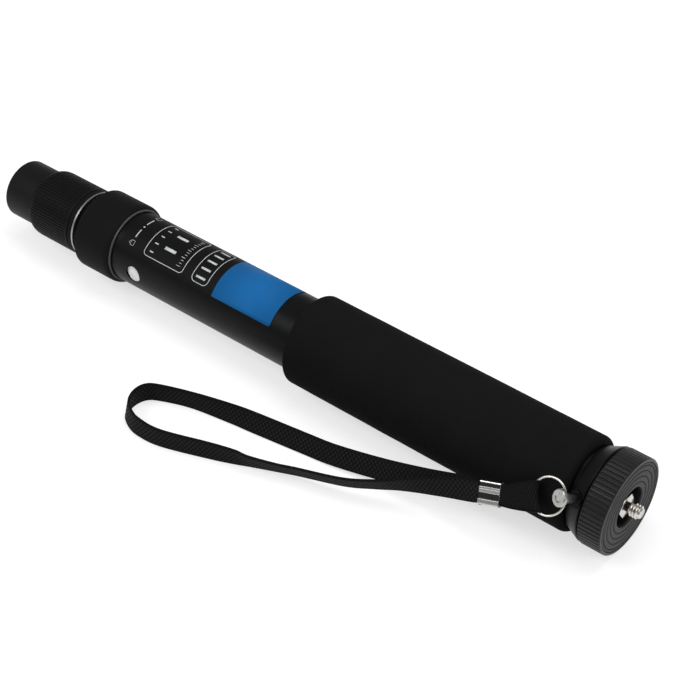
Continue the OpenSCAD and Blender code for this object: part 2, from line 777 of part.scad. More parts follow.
function place(station) = [station[0], station[1], station[2]];
function strap_dir(i) =
    let (last = len(strap_stations) - 1)
    i == 0 ? -along :
    i == last ? along :
    unit(place(strap_stations[i + 1]) - place(strap_stations[i - 1]));

module strap_loop() {
    sides = len(tape_outline);
    last = len(strap_stations) - 1;
    points = [
        for (i = [0:last])
            let (dir = strap_dir(i), side = tape_side(dir, strap_stations[i][3]), face = cross(dir, side))
            for (corner = tape_outline)
                place(strap_stations[i]) + corner.x * side + corner.y * face];
    walls = [
        for (i = [0:last - 1])
            for (k = [0:sides - 1])
                let (a = i * sides + k, b = i * sides + (k + 1) % sides)
                each [[a, a + sides, b], [b, a + sides, b + sides]]];
    start_cap = [for (k = [1:sides - 2]) [0, k, k + 1]];
    finish_cap = [for (k = [1:sides - 2]) [last * sides, last * sides + k + 1, last * sides + k]];
    color("#141415")
        polyhedron(points, concat(walls, start_cap, finish_cap));
}

main_tube();
tube_label();
foam_grip();
main_lock_bush();
bush_rivet();
main_lock_ferrule();
head_base();
head_pin();
camera_screw();
screw_nut();
friction_washer();
strap_stud();
stud_washer();
main_lock_collar();
main_collar_sleeve();
thumb_wheel();
face_pad();
middle_tube();
middle_guide_bush();
lower_lock_bush();
lower_lock_ferrule();
trim_ring();
lower_lock_collar();
lower_collar_sleeve();
lower_tube();
lower_guide_bush();
foot_plug();
rubber_foot();
strap_ring();
strap_tab();
strap_crimp();
strap_loop();
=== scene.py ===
import math

import bmesh
import bpy
from mathutils import Matrix, Vector, noise


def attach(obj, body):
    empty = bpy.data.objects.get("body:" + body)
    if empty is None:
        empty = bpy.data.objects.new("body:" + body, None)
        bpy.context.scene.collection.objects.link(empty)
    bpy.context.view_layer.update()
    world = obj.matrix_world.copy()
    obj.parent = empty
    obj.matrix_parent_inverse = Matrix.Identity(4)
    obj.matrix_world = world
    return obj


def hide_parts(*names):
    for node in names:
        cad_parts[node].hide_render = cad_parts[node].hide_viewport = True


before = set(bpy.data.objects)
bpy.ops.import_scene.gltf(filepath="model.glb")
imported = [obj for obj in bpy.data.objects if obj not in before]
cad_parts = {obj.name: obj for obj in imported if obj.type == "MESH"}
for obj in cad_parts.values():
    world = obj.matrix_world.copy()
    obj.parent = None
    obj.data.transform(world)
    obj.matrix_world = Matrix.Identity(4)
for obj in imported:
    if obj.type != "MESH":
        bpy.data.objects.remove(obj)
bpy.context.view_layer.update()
scene = bpy.context.scene
scene.view_settings.view_transform = "Standard"


# The white table that the monopod lies on for its picture, seen from above the camera end.
# The floor is a matt white board with a faint shadow, in a plain grey room with three soft lamps.
mm = 0.001


def shader_node(tree, kind, inputs=None, **settings):
    """Adds a node with its settings and with values for the sockets that nothing feeds."""
    made = tree.nodes.new(kind)
    for key, value in settings.items():
        setattr(made, key, value)
    for key, value in (inputs or {}).items():
        made.inputs[key].default_value = value
    return made


def seen_rays(tree):
    """One for the rays that show the board, straight or by way of metal or glass, and zero for the rest."""
    path = shader_node(tree, "ShaderNodeLightPath")
    first = shader_node(tree, "ShaderNodeMath", operation="MAXIMUM")
    seen = shader_node(tree, "ShaderNodeMath", operation="MAXIMUM")
    tree.links.new(path.outputs["Is Camera Ray"], first.inputs[0])
    tree.links.new(path.outputs["Is Glossy Ray"], first.inputs[1])
    tree.links.new(first.outputs[0], seen.inputs[0])
    tree.links.new(path.outputs["Is Transmission Ray"], seen.inputs[1])
    return seen.outputs[0]


camera_tilt, camera_turn = 49.9253, 39.2748
camera_data = bpy.data.cameras.new("photo_camera")
camera_data.sensor_width = 36.0
camera_data.lens = 97.2
camera_data.clip_start, camera_data.clip_end = 0.05, 20.0
camera = bpy.data.objects.new("photo_camera", camera_data)
camera.location = (423.295 * mm, -490.25 * mm, 563.48 * mm)
camera.rotation_euler = (math.radians(camera_tilt), 0.0, math.radians(camera_turn))
scene.collection.objects.link(camera)
scene.camera = camera

room = bpy.data.worlds.new("grey_room")
room.use_nodes = True
room_light = room.node_tree.nodes["Background"]
room_light.inputs["Color"].default_value = (0.97, 0.985, 1.0, 1.0)
room_light.inputs["Strength"].default_value = 0.34
scene.world = room

board_half, board_grey, board_glow = 5.0, 0.56, 0.62
board = bmesh.new()
bmesh.ops.create_grid(board, x_segments=8, y_segments=8, size=board_half)
board_mesh = bpy.data.meshes.new("white_board")
board.to_mesh(board_mesh)
board.free()
floor = bpy.data.objects.new("white_board", board_mesh)
scene.collection.objects.link(floor)
board_paint = bpy.data.materials.new("white_board")
board_paint.use_nodes = True
board_tree = board_paint.node_tree
board_tree.nodes.clear()
matt = shader_node(board_tree, "ShaderNodeBsdfDiffuse", {"Color": (board_grey, board_grey, board_grey, 1.0)})
glow = shader_node(board_tree, "ShaderNodeEmission", {"Color": (1.0, 1.0, 1.0, 1.0)})
lift = shader_node(board_tree, "ShaderNodeMath", {1: board_glow}, operation="MULTIPLY")
matt_and_glow = shader_node(board_tree, "ShaderNodeAddShader")
board_out = shader_node(board_tree, "ShaderNodeOutputMaterial")
board_tree.links.new(seen_rays(board_tree), lift.inputs[0])
board_tree.links.new(lift.outputs[0], glow.inputs["Strength"])
board_tree.links.new(matt.outputs[0], matt_and_glow.inputs[0])
board_tree.links.new(glow.outputs[0], matt_and_glow.inputs[1])
board_tree.links.new(matt_and_glow.outputs[0], board_out.inputs["Surface"])
board_mesh.materials.append(board_paint)

lamp_aim = Vector((0.0, -0.02, 0.02))
for name, place, width, power in (
        ("left_softbox", (-0.55, -0.75, 0.95), 0.7, 5.0),
        ("top_softbox", (0.1, 0.25, 1.2), 0.9, 5.0),
        ("right_softbox", (0.95, -0.1, 0.7), 0.6, 2.5)):
    lamp = bpy.data.lights.new(name, "AREA")
    lamp.shape = "DISK"
    lamp.size = width
    lamp.energy = power
    stand = bpy.data.objects.new(name, lamp)
    stand.location = place
    stand.rotation_euler = (lamp_aim - Vector(place)).to_track_quat("-Z", "Y").to_euler()
    scene.collection.objects.link(stand)


# Main tube: drawn aluminium, satin black anodised, 35.4 mm across with a hole for the bush's rivet.
# The two inner tubes are the same stock in smaller sizes and slide out of it.
def grained(name, low, high, grain, roughness, gloss, relief, stretch=(1.0, 1.0, 1.0), metallic=0.0,
            patch=20 * mm):
    """A surface with fine grain of that size in its colour, roughness and relief, and broad faint patches."""
    made = bpy.data.materials.new(name)
    made.use_nodes = True
    tree = made.node_tree
    skin = tree.nodes["Principled BSDF"]
    skin.inputs["Metallic"].default_value = metallic
    skin.inputs["Specular IOR Level"].default_value = gloss
    where = shader_node(tree, "ShaderNodeTexCoord")
    scale = shader_node(tree, "ShaderNodeMapping", {"Scale": [s / grain for s in stretch]})
    fine = shader_node(tree, "ShaderNodeTexNoise", {"Scale": 1.0, "Detail": 4.0, "Roughness": 0.6})
    broad = shader_node(tree, "ShaderNodeTexNoise", {"Scale": 1.0 / patch, "Detail": 3.0, "Roughness": 0.55})
    blend = shader_node(tree, "ShaderNodeMix", {"Factor": 0.4}, data_type="FLOAT")
    ramp = shader_node(tree, "ShaderNodeValToRGB")
    dark_stop, pale_stop = ramp.color_ramp.elements
    dark_stop.position, pale_stop.position = 0.3, 0.7
    dark_stop.color, pale_stop.color = (*low, 1.0), (*high, 1.0)
    rough = shader_node(tree, "ShaderNodeMapRange", {"To Min": roughness[0], "To Max": roughness[1]})
    bump = shader_node(tree, "ShaderNodeBump", {"Strength": 1.0, "Distance": relief})
    tree.links.new(where.outputs["Object"], scale.inputs["Vector"])
    tree.links.new(scale.outputs["Vector"], fine.inputs["Vector"])
    tree.links.new(where.outputs["Object"], broad.inputs["Vector"])
    tree.links.new(fine.outputs["Fac"], blend.inputs["A"])
    tree.links.new(broad.outputs["Fac"], blend.inputs["B"])
    tree.links.new(blend.outputs["Result"], ramp.inputs["Fac"])
    tree.links.new(ramp.outputs["Color"], skin.inputs["Base Color"])
    tree.links.new(blend.outputs["Result"], rough.inputs["Value"])
    tree.links.new(rough.outputs["Result"], skin.inputs["Roughness"])
    tree.links.new(fine.outputs["Fac"], bump.inputs["Height"])
    tree.links.new(bump.outputs["Normal"], skin.inputs["Normal"])
    return made


def dress(material, *nodes):
    """Puts a finish on CAD pieces that keep their own shape."""
    for name in nodes:
        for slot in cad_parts[name].material_slots:
            slot.material = material


anodised = grained("satin_black_anodised", low=(0.0027, 0.0028, 0.0030), high=(0.0043, 0.0044, 0.0047),
                   grain=0.25 * mm, roughness=(0.34, 0.48), gloss=0.11, relief=0.004 * mm,
                   stretch=(0.04, 1.0, 1.0), patch=30 * mm)
dress(anodised, "main_tube", "middle_tube", "lower_tube")


# Label: a printed polyester film wrapped over the bare part of the tube, with the lock marks,
# two plain frames with rows of plain ticks and a blue end panel in screen-printed ink.
axis_z = 22.5
film_r = 17.87
film_mid = math.radians(80.6)


def piece_of(made, name, material, body, nodes):
    """Turns a finished bmesh into a piece that stands for its CAD nodes and rides on their body."""
    mesh = bpy.data.meshes.new(name)
    made.to_mesh(mesh)
    made.free()
    mesh.shade_smooth()
    mesh.materials.append(material)
    piece = bpy.data.objects.new(name, mesh)
    scene.collection.objects.link(piece)
    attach(piece, body)
    if nodes:
        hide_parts(*nodes)
    return piece


def flat_plate(ink, span, angles, corner=0.0, rim=0.0, one_end=False):
    """A flat patch of ink between two places along the tube and two angles, with its corners rounded."""
    x0, x1 = span
    s0, s1 = (film_r * (math.radians(a) - film_mid) for a in angles)
    known = set(ink.faces)
    size = Matrix.Diagonal((x1 - x0, s1 - s0, 1.0, 1.0))
    made = bmesh.ops.create_grid(ink, x_segments=1, y_segments=1, size=0.5,
                                 matrix=Matrix.Translation(((x0 + x1) / 2, (s0 + s1) / 2, 0.0)) @ size)
    corners = [v for v in made["verts"] if v.co.x > (x0 + x1) / 2 or not one_end]
    if corner:
        bmesh.ops.bevel(ink, geom=corners, offset=corner, segments=6, profile=0.5, affect="VERTICES",
                        material=-1)
    if rim:
        whole = [f for f in ink.faces if f not in known]
        bmesh.ops.inset_region(ink, faces=whole, thickness=rim, use_even_offset=True, use_boundary=True)
        bmesh.ops.delete(ink, geom=whole, context="FACES_ONLY")


def about(angle, half):
    """The two angles of a mark from its middle."""
    return angle - half, angle + half


def shackle(ink, x, angle, radii):
    """The bow of a padlock mark, as a half ring of ink."""
    s = film_r * (math.radians(angle) - film_mid)
    legs = [ink.verts.new((x, s - r, 0.0)) for r in radii]
    edge = ink.edges.new(legs)
    bmesh.ops.spin(ink, geom=[*legs, edge], cent=(x, s, 0.0), axis=(0.0, 0.0, 1.0), angle=-math.pi, steps=14)


def on_tube(ink, name, material, thickness, strips=48):
    """Cuts flat ink into strips, bends it on to the film and gives it its thickness."""
    low = min(v.co.y for v in ink.verts)
    high = max(v.co.y for v in ink.verts)
    for k in range(1, strips):
        bmesh.ops.bisect_plane(ink, geom=[*ink.verts, *ink.edges, *ink.faces], dist=1e-5,
                               plane_co=(0.0, low + (high - low) * k / strips, 0.0), plane_no=(0.0, 1.0, 0.0))
    for v in ink.verts:
        angle = v.co.y / film_r + film_mid
        v.co = Vector((v.co.x, -film_r * math.cos(angle), axis_z + film_r * math.sin(angle))) * mm
    bmesh.ops.remove_doubles(ink, verts=ink.verts, dist=1e-7)
    for f in ink.faces:
        f.normal_update()
        centre = f.calc_center_median()
        if f.normal.dot(centre - Vector((centre.x, 0.0, axis_z * mm))) < 0:
            f.normal_flip()
    piece = piece_of(ink, name, material, body="grip_section", nodes=[])
    wall = piece.modifiers.new("ink", "SOLIDIFY")
    wall.thickness = thickness
    wall.offset = -1.0


film = grained("black_label_film", low=(0.0036, 0.0036, 0.0038), high=(0.0056, 0.0056, 0.0059),
               grain=0.2 * mm, roughness=(0.45, 0.6), gloss=0.1, relief=0.003 * mm, patch=25 * mm)
dress(film, "tube_label")
white_ink = grained("white_ink", low=(0.62, 0.63, 0.64), high=(0.72, 0.73, 0.74), grain=0.15 * mm,
                    roughness=(0.45, 0.6), gloss=0.3, relief=0.003 * mm)
blue_ink = grained("blue_ink", low=(0.010, 0.138, 0.390), high=(0.013, 0.154, 0.430), grain=0.3 * mm,
                   roughness=(0.5, 0.62), gloss=0.07, relief=0.002 * mm, patch=30 * mm)

long_frame, short_frame, frame_line = (-87.6, -62.6), (-57.0, -47.0), 0.34
lock_dash, lock_dot = (-96.2, -95.6), (-96.35, -95.45)
padlock, padlock_half, padlock_line, bow_radii = (-96.7, -94.6), 4.4, 0.16, (0.67, 0.84)
tick_row, bar_row, bar_pair = (-84.6, -82.4), (-54.8, -49.2), (-78.2, -71.4)
scale_top, scale_short, scale_long = -65.2, -66.8, -67.6
first_tick, wide_step, fine_step = 50.4, 15.1, 5.03
marks = bmesh.new()
flat_plate(marks, long_frame, (41.2, 120.0), corner=2.2, rim=frame_line)
flat_plate(marks, short_frame, (40.7, 120.5), corner=2.6, rim=frame_line)
flat_plate(marks, lock_dash, (59.0, 74.0))
flat_plate(marks, lock_dash, (86.7, 102.7))
flat_plate(marks, lock_dot, (79.1, 82.1), corner=0.4)
for angle in (49.2, 112.9):
    flat_plate(marks, padlock, about(angle, padlock_half), corner=0.35, rim=padlock_line)
    shackle(marks, padlock[0], angle, bow_radii)
for k in range(5):
    flat_plate(marks, tick_row, about(first_tick + wide_step * k, 1.0))
    flat_plate(marks, bar_row, about(first_tick + wide_step * k, 1.7))
for k in range(13):
    scale_foot = scale_short if k % 3 else scale_long
    flat_plate(marks, (scale_foot, scale_top), about(first_tick + fine_step * k, 0.4))
for angle in (66.0, 95.0):
    flat_plate(marks, bar_pair, about(angle, 2.6))
on_tube(marks, "label_marks", white_ink, 0.02 * mm)

panel = bmesh.new()
flat_plate(panel, (-42.5, -6.9), (33.4, 127.9), corner=1.3, one_end=True)
on_tube(panel, "label_blue_panel", blue_ink, 0.015 * mm)


# Foam grip: a tube of closed-cell foam pushed on to the main tube, with ground ends.
# Its skin is dull and finely pitted. It yields a little, so it is not perfectly round,
# and its upper end is not quite square.
def turned(outline, steps=128):
    """A solid of revolution about the monopod's axis: each point is a place along it and a radius, in mm."""
    made = bmesh.new()
    points = [made.verts.new((x * mm, 0.0, (axis_z + r) * mm)) for x, r in outline]
    edges = [made.edges.new((a, b)) for a, b in zip(points, points[1:])]
    if outline[0][1] > 0:
        edges.append(made.edges.new((points[-1], points[0])))
    bmesh.ops.spin(made, geom=[*points, *edges], cent=(0.0, 0.0, axis_z * mm), axis=(1.0, 0.0, 0.0),
                   angle=2 * math.pi, steps=steps, use_merge=True)
    bmesh.ops.remove_doubles(made, verts=made.verts, dist=1e-7)
    bmesh.ops.recalc_face_normals(made, faces=made.faces)
    return made


def arc(x, r, rx, rr, start, end, steps=8):
    """Points on a rounded edge about a centre, in degrees from the axis direction."""
    angles = [math.radians(start + (end - start) * k / steps) for k in range(steps + 1)]
    return [(x + rx * math.cos(a), r + rr * math.sin(a)) for a in angles]


grip_from, grip_to, grip_r, grip_bore = 5.975, 157.675, 22.2, 17.75
grip_edge, grip_shoulder, grip_rings = 1.5, 3.0, 48
grip_l = grip_to - grip_from - grip_edge - grip_shoulder
skin_from, unevenness, lumps_per_metre = 20.0, 0.07, 90.0
slant, slant_l = 0.9, 25.0
grip_line = [(grip_from + grip_edge + grip_l * k / grip_rings, grip_r) for k in range(1, grip_rings)]
grip = turned([(grip_from, grip_bore)]
              + arc(grip_from + grip_edge, grip_r - grip_edge, grip_edge, grip_edge, 180, 90)
              + grip_line
              + arc(grip_to - grip_shoulder, grip_r - grip_shoulder, grip_shoulder, grip_shoulder, 90, 0)
              + [(grip_to, grip_bore)])
for v in grip.verts:
    spoke = v.co - Vector((v.co.x, 0.0, axis_z * mm))
    if spoke.length > skin_from * mm:
        v.co -= spoke.normalized() * (unevenness * mm * (1 + noise.noise(v.co * lumps_per_metre)))
    near_end = max(0.0, v.co.x - (grip_to - slant_l) * mm) / (slant_l * mm)
    v.co.x -= near_end ** 2 * slant * mm * (1 + (v.co.z - axis_z * mm) / (grip_r * mm))
foam = grained("closed_cell_foam", low=(0.0068, 0.0068, 0.0070), high=(0.0105, 0.0105, 0.0107),
               grain=0.45 * mm, roughness=(0.9, 1.0), gloss=0.06, relief=0.10 * mm, patch=22 * mm)
foam_grip = piece_of(grip, "foam_grip_sleeve", foam, body="grip_section", nodes=["foam_grip"])


# Upper twist lock: a dark anodised collar under a smooth rubber sleeve with a rounded upper shoulder
# and a bead at its mouth whose light grey colour is a painted highlight. It screws over the nose of a plastic
# bush and squeezes a split ferrule on the middle tube.
def off_axis(point):
    """How far a point is from the monopod's axis."""
    return math.hypot(point.y, point.z - axis_z * mm)


def second_finish(piece, material, covers):
    """Gives another material to the faces whose centre it covers."""
    piece.data.materials.append(material)
    for f in piece.data.polygons:
        f.material_index = int(covers(f.center))


rubber = grained("matt_black_rubber", low=(0.0056, 0.0056, 0.0058), high=(0.0084, 0.0084, 0.0086),
                 grain=0.3 * mm, roughness=(0.55, 0.72), gloss=0.07, relief=0.012 * mm, patch=18 * mm)
dark_metal = grained("dark_anodised_collar", low=(0.055, 0.056, 0.058), high=(0.085, 0.086, 0.09),
                     grain=0.2 * mm, roughness=(0.35, 0.5), gloss=0.4, relief=0.003 * mm,
                     stretch=(4.0, 0.3, 0.3))
black_plastic = grained("satin_black_plastic", low=(0.0050, 0.0051, 0.0053), high=(0.0078, 0.0079, 0.0082),
                        grain=0.35 * mm, roughness=(0.36, 0.5), gloss=0.24, relief=0.008 * mm, patch=16 * mm)
acetal = grained("natural_acetal", low=(0.70, 0.68, 0.62), high=(0.80, 0.78, 0.73), grain=0.5 * mm,
                 roughness=(0.3, 0.45), gloss=0.4, relief=0.005 * mm)
dress(dark_metal, "main_lock_collar")
dress(black_plastic, "main_lock_bush", "lower_lock_bush", "foot_plug")
dress(acetal, "main_lock_ferrule", "lower_lock_ferrule", "middle_guide_bush", "lower_guide_bush",
      "friction_washer")
sleeve_from, sleeve_to, sleeve_r, sleeve_bore = -128.525, -106.025, 20.25, 19.15
sleeve_edge, shoulder_l, mouth_wall = 0.8, 3.1, 0.45
bead_top, bead_r, bead_l = 18.65, 0.25, 0.2
shoulder_end, shoulder_r = sleeve_to - 0.1, bead_top + 0.05
sleeve = turned([(sleeve_to - mouth_wall, bead_top - 2 * bead_r), (sleeve_to - mouth_wall, sleeve_bore),
                 (sleeve_from, sleeve_bore)]
                + arc(sleeve_from + sleeve_edge, sleeve_r - sleeve_edge, sleeve_edge, sleeve_edge, 180, 90)
                + arc(shoulder_end - shoulder_l, shoulder_r, shoulder_l, sleeve_r - shoulder_r, 90, 0, 16)
                + arc(sleeve_to - bead_l, bead_top - bead_r, bead_l, bead_r, 90, -90))
upper_sleeve = piece_of(sleeve, "upper_collar_sleeve", rubber, body="main_lock", nodes=["main_collar_sleeve"])
# The bead's light grey colour is a painted highlight.
lip_painted_highlight = grained("bright_lip_painted_highlight", low=(0.36, 0.36, 0.365), high=(0.46, 0.46, 0.465), grain=0.25 * mm,
                   roughness=(0.25, 0.36), gloss=0.6, relief=0.004 * mm, patch=9 * mm)
second_finish(upper_sleeve, lip_painted_highlight,
              lambda c: off_axis(c) < (bead_top + 0.02) * mm and c.x > (sleeve_to - 0.3) * mm)


# Bush rivet: a bright pressed disc with a shallow dish that shows in a hole of the main tube
# beside the label and holds the plastic bush inside it.
def bright_metal(name, low, high, roughness, relief, stretch=(1.0, 1.0, 1.0)):
    """Bare or plated metal with a very fine grain."""
    return grained(name, low, high, grain=0.12 * mm, roughness=roughness, gloss=0.5, relief=relief,
                   stretch=stretch, metallic=1.0, patch=9 * mm)


def new_verts(extruded):
    """The vertices that an extrusion has made."""
    return [g for g in extruded["geom"] if isinstance(g, bmesh.types.BMVert)]


def soft_edges(piece, width, segments=3, angle=30.0):
    """Rounds a piece's sharp edges."""
    edge = piece.modifiers.new("edges", "BEVEL")
    edge.width = width
    edge.segments = segments
    edge.limit_method = "ANGLE"
    edge.angle_limit = math.radians(angle)
    edge.harden_normals = True


plated = bright_metal("bright_plated_steel", low=(0.52, 0.51, 0.49), high=(0.62, 0.61, 0.59),
                      roughness=(0.16, 0.28), relief=0.0008 * mm)
pressed = grained("pressed_rivet", low=(0.50, 0.50, 0.50), high=(0.84, 0.84, 0.84), grain=0.9 * mm,
                  roughness=(0.4, 0.6), gloss=0.5, relief=0.03 * mm, metallic=1.0, patch=2 * mm)
dress(plated, "head_pin", "screw_nut")
rivet_x, rivet_face, rivet_r, rivet_t = -91.125, 16.9, 4.1, 0.6
rivet_rim, dish_slope, dish_depth = 0.55, 0.35, 0.22
button = bmesh.new()
bmesh.ops.create_circle(button, cap_ends=True, segments=48, radius=rivet_r * mm)
button_back = bmesh.ops.extrude_face_region(button, geom=button.faces[:], use_keep_orig=True)
bmesh.ops.translate(button, vec=(0.0, 0.0, -rivet_t * mm), verts=new_verts(button_back))
crown = max(button.faces, key=lambda f: f.calc_center_median().z)
bmesh.ops.inset_region(button, faces=[crown], thickness=rivet_rim * mm, depth=0.0, use_even_offset=True)
bmesh.ops.inset_region(button, faces=[crown], thickness=dish_slope * mm, depth=-dish_depth * mm,
                       use_even_offset=True)
rivet_place = Matrix.Translation(Vector((rivet_x, -rivet_face, axis_z)) * mm)
bmesh.ops.transform(button, matrix=rivet_place @ Matrix.Rotation(math.radians(90), 4, "X"),
                    verts=button.verts)
bmesh.ops.recalc_face_normals(button, faces=button.faces)
rivet = piece_of(button, "pressed_bush_rivet", pressed, body="grip_section", nodes=["bush_rivet"])
soft_edges(rivet, 0.12 * mm)


# Head base: a moulded cone that plugs into the main tube, held by a hidden cross pin and a nut.
# The camera screw stands in it, and the wrist strap's turned stud is let into its side
# on a blackened washer.
# The cone's plastic is darker than the other black plastic: painted shade from the foam grip.
head_plastic_painted_shade = grained("head_plastic_painted_shade", low=(0.0018, 0.0018, 0.0019), high=(0.0030, 0.0030, 0.0032),
                       grain=0.35 * mm, roughness=(0.3, 0.42), gloss=0.17, relief=0.006 * mm, patch=16 * mm)
dress(head_plastic_painted_shade, "head_base")
# This blackened steel is the washer's own finish; on the screw's thread relief it is painted shade, and in
# the clip's channels a painted dark reflection.
blackened_and_painted_dark = grained("blackened_steel_and_painted_dark", low=(0.022, 0.022, 0.021), high=(0.036, 0.036, 0.035), grain=0.2 * mm,
                    roughness=(0.35, 0.5), gloss=0.4, relief=0.002 * mm, metallic=1.0, patch=4 * mm)
dress(blackened_and_painted_dark, "stud_washer")
# The stud's colour darkens towards its foot in the cone: painted shade.
stud_foot = Vector((161.475, -18.3031, 32.2319))
stud_dir = Vector((-0.378125, -0.817393, 0.434615))
painted_shade_to, unshaded_from, painted_shade_share = 4.0, 7.6, 0.36
stud_steel = bright_metal("turned_stud", low=(0.40, 0.39, 0.37), high=(0.52, 0.51, 0.49),
                          roughness=(0.22, 0.34), relief=0.001 * mm)
stud_tree = stud_steel.node_tree
stud_where = shader_node(stud_tree, "ShaderNodeTexCoord")
stud_height = shader_node(stud_tree, "ShaderNodeVectorMath", {1: stud_dir}, operation="DOT_PRODUCT")
stud_shade = shader_node(stud_tree, "ShaderNodeMapRange", {
    "From Min": (stud_foot.dot(stud_dir) + painted_shade_to) * mm,
    "From Max": (stud_foot.dot(stud_dir) + unshaded_from) * mm,
    "To Min": painted_shade_share, "To Max": 1.0})
stud_colour = shader_node(stud_tree, "ShaderNodeVectorMath", operation="SCALE")
stud_tree.links.new(stud_where.outputs["Object"], stud_height.inputs[0])
stud_tree.links.new(stud_height.outputs["Value"], stud_shade.inputs["Value"])
stud_tree.links.new(stud_shade.outputs["Result"], stud_colour.inputs["Scale"])
stud_tree.links.new(stud_tree.nodes["Color Ramp"].outputs["Color"], stud_colour.inputs[0])
stud_tree.links.new(stud_colour.outputs["Vector"], stud_tree.nodes["Principled BSDF"].inputs["Base Color"])
dress(stud_steel, "strap_stud")


# Thumb wheel: a moulded wheel with fine ribs that turns on the screw's shank, and its rubber face.
# The face is let into the wheel and has ring ridges that hold a camera's underside.
def rib_gaps(made, low, high, radius, ribs):
    """The faces of a turned piece's outer band between its ribs, which are every second step round it."""
    picked = []
    for f in made.faces:
        c = f.calc_center_median()
        step = math.atan2(c.z - axis_z * mm, c.y) / (2 * math.pi) * ribs
        if low * mm < c.x < high * mm and off_axis(c) > radius * mm and step % 1.0 < 0.5:
            picked.append(f)
    return picked


wheel_from, wheel_to, wheel_r, wheel_bore, wheel_ribs = 165.375, 176.975, 22.5, 4.85, 64
back_edge, front_edge, rim_wall = 0.9, 0.4, 1.5
pad_t, well_r, well_floor = 1.6, 9.3, 4.5
rib_margin, rib_band, gap_edge, gap_depth = 1.0, 0.5, 0.28, 0.6
wheel_plastic = grained("wheel_plastic", low=(0.0080, 0.0082, 0.0085), high=(0.0118, 0.0120, 0.0124),
                        grain=0.3 * mm, roughness=(0.3, 0.42), gloss=0.26, relief=0.008 * mm, patch=12 * mm)
wheel = turned([(wheel_from, wheel_bore), (wheel_from, wheel_r - back_edge),
                (wheel_from + back_edge, wheel_r), (wheel_to - front_edge, wheel_r),
                (wheel_to, wheel_r - front_edge), (wheel_to, wheel_r - rim_wall),
                (wheel_to - pad_t, wheel_r - rim_wall), (wheel_to - pad_t, well_r),
                (wheel_from + well_floor, well_r), (wheel_from + well_floor, wheel_bore)], wheel_ribs * 2)
wheel_gaps = rib_gaps(wheel, wheel_from + rib_margin, wheel_to - rib_margin, wheel_r - rib_band, wheel_ribs)
bmesh.ops.inset_individual(wheel, faces=wheel_gaps, thickness=gap_edge * mm, depth=-gap_depth * mm,
                           use_even_offset=True)
thumb_wheel = piece_of(wheel, "ribbed_thumb_wheel", wheel_plastic, body="head_wheel", nodes=["thumb_wheel"])
soft_edges(thumb_wheel, 0.2 * mm)

pad_rubber = grained("face_rubber", low=(0.031, 0.0312, 0.032), high=(0.043, 0.0432, 0.0442), grain=0.25 * mm,
                     roughness=(0.5, 0.66), gloss=0.3, relief=0.01 * mm, patch=10 * mm)
pad_outer, pad_grooves, pad_inner = 20.95, (19.5, 17.0, 14.5, 12.0), 9.3
ridge_foot, ridge_h, ridge_gap, groove_depth = 0.35, 0.33, 0.2, 1.1
ridge_rims = (pad_outer, *pad_grooves, pad_inner)
pad_line = [(wheel_to - pad_t, pad_outer)]
for outer, inner in zip(ridge_rims, ridge_rims[1:]):
    ridge_half = (outer - inner) / 2
    pad_line += arc(wheel_to - ridge_foot, outer - ridge_half, ridge_h, ridge_half - ridge_gap, 90, -90, 10)
    if inner > pad_inner:
        pad_line.append((wheel_to - groove_depth, inner))
face = turned(pad_line + [(wheel_to - pad_t, pad_inner)])
piece_of(face, "ridged_face_pad", pad_rubber, body="head_wheel", nodes=["face_pad"])


# Camera screw: turned and plated steel with a quarter inch thread of 20 turns to the inch,
# a relief under the thread made dark as painted shade, a hexagonal flange in the wheel's well
# and a thick shank through the base.
screw_tip, flange_face, flange_back, tail = 182.825, 175.775, 174.175, 147.225
shank_r, flange_r, flange_edge, neck_r = 4.75, 5.8, 0.3, 2.1
thread_r, core_r, tip_r, tip_l, pitch = 3.175, 2.42, 2.2, 0.55, 1.27
neck_end, thread_from = wheel_to + 0.35, wheel_to + 0.5
screw = turned([(tail, 0.0), (tail, shank_r), (flange_back, shank_r), (flange_back, neck_r),
                (flange_face, neck_r), (neck_end, neck_r), (thread_from, core_r), (screw_tip - tip_l, core_r),
                (screw_tip, tip_r), (screw_tip, 0.0)], 64)
flange_place = Matrix.Translation((flange_back * mm, 0.0, axis_z * mm))
bmesh.ops.create_circle(screw, cap_ends=True, segments=6, radius=flange_r * mm,
                        matrix=flange_place @ Matrix.Rotation(math.radians(90), 4, "Y"))
hexagon = next(f for f in screw.faces if len(f.verts) == 6)
flange = bmesh.ops.extrude_face_region(screw, geom=[hexagon], use_keep_orig=True)
bmesh.ops.translate(screw, vec=((flange_face - flange_back) * mm, 0.0, 0.0), verts=new_verts(flange))
flange_rim = [e for e in screw.edges if all(abs(v.co.x - flange_face * mm) < 1e-6 for v in e.verts)]
bmesh.ops.bevel(screw, geom=flange_rim, offset=flange_edge * mm, segments=2, profile=0.5, affect="EDGES",
                material=-1)

